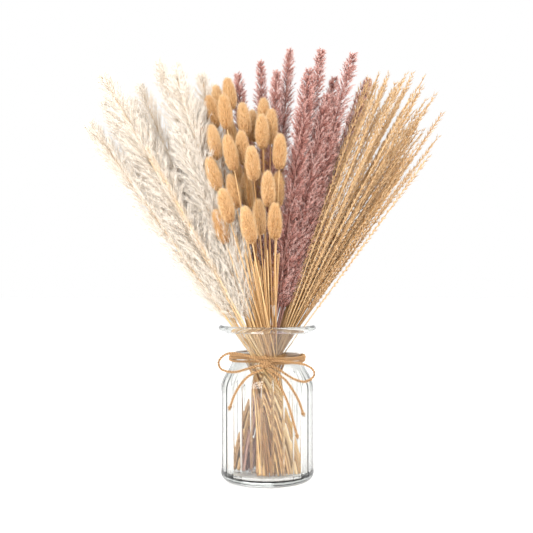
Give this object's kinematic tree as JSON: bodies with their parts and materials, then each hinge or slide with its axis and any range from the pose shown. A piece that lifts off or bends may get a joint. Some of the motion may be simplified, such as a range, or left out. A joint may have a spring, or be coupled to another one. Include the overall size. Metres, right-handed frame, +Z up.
{
  "type": "dried grass bouquet in glass vase",
  "caption": "Upright bouquet of dried bunny tail grass, pampas, mauve reed and tan reed plumes in a ribbed clear glass vase tied at the neck with a jute twine bow",
  "frame": {"origin": "centre of the vase's flat underside", "axes": "+Z up out of the vase, -Y the front with the bow, +X to the right seen from the front"},
  "size_m": [0.3633, 0.1243, 0.455],
  "materials": {
    "glass": "clear pressed glass",
    "twine": "twisted jute",
    "bunny_tail": "dried grass, soft awns",
    "white_pampas": "bleached dried plume",
    "mauve_reed": "dyed dried plume",
    "tan_reed": "dried reed plume"
  },
  "bodies": {
    "root": {"glass_vase": "glass", "neck_wrap": "twine", "bow_knot": "twine", "bow_loop_left": "twine", "bow_loop_right": "twine", "bow_tail_left": "twine", "bow_tail_right_long": "twine", "bow_tail_right_short": "twine", "bunny_tail_01": "bunny_tail", "bunny_tail_02": "bunny_tail", "bunny_tail_03": "bunny_tail", "bunny_tail_04": "bunny_tail", "bunny_tail_05": "bunny_tail", "bunny_tail_06": "bunny_tail", "bunny_tail_07": "bunny_tail", "bunny_tail_08": "bunny_tail", "bunny_tail_09": "bunny_tail", "bunny_tail_10": "bunny_tail", "bunny_tail_11": "bunny_tail", "bunny_tail_12": "bunny_tail", "bunny_tail_13": "bunny_tail", "bunny_tail_14": "bunny_tail", "bunny_tail_15": "bunny_tail", "bunny_tail_16": "bunny_tail", "bunny_tail_17": "bunny_tail", "bunny_tail_18": "bunny_tail", "bunny_tail_19": "bunny_tail", "bunny_tail_20": "bunny_tail", "bunny_tail_21": "bunny_tail", "bunny_tail_22": "bunny_tail", "bunny_tail_23": "bunny_tail", "bunny_tail_24": "bunny_tail", "bunny_tail_25": "bunny_tail", "bunny_tail_26": "bunny_tail", "white_pampas_1": "white_pampas", "white_pampas_2": "white_pampas", "white_pampas_3": "white_pampas", "white_pampas_4": "white_pampas", "white_pampas_5": "white_pampas", "white_pampas_6": "white_pampas", "white_pampas_7": "white_pampas", "white_pampas_8": "white_pampas", "mauve_reed_1": "mauve_reed", "mauve_reed_2": "mauve_reed", "mauve_reed_3": "mauve_reed", "mauve_reed_4": "mauve_reed", "mauve_reed_5": "mauve_reed", "mauve_reed_6": "mauve_reed", "mauve_reed_7": "mauve_reed", "mauve_reed_8": "mauve_reed", "mauve_reed_9": "mauve_reed", "tan_reed_1": "tan_reed", "tan_reed_2": "tan_reed", "tan_reed_3": "tan_reed", "tan_reed_4": "tan_reed", "tan_reed_5": "tan_reed", "tan_reed_6": "tan_reed", "tan_reed_7": "tan_reed", "tan_reed_8": "tan_reed", "tan_reed_9": "tan_reed"}
  },
  "joints": []
}
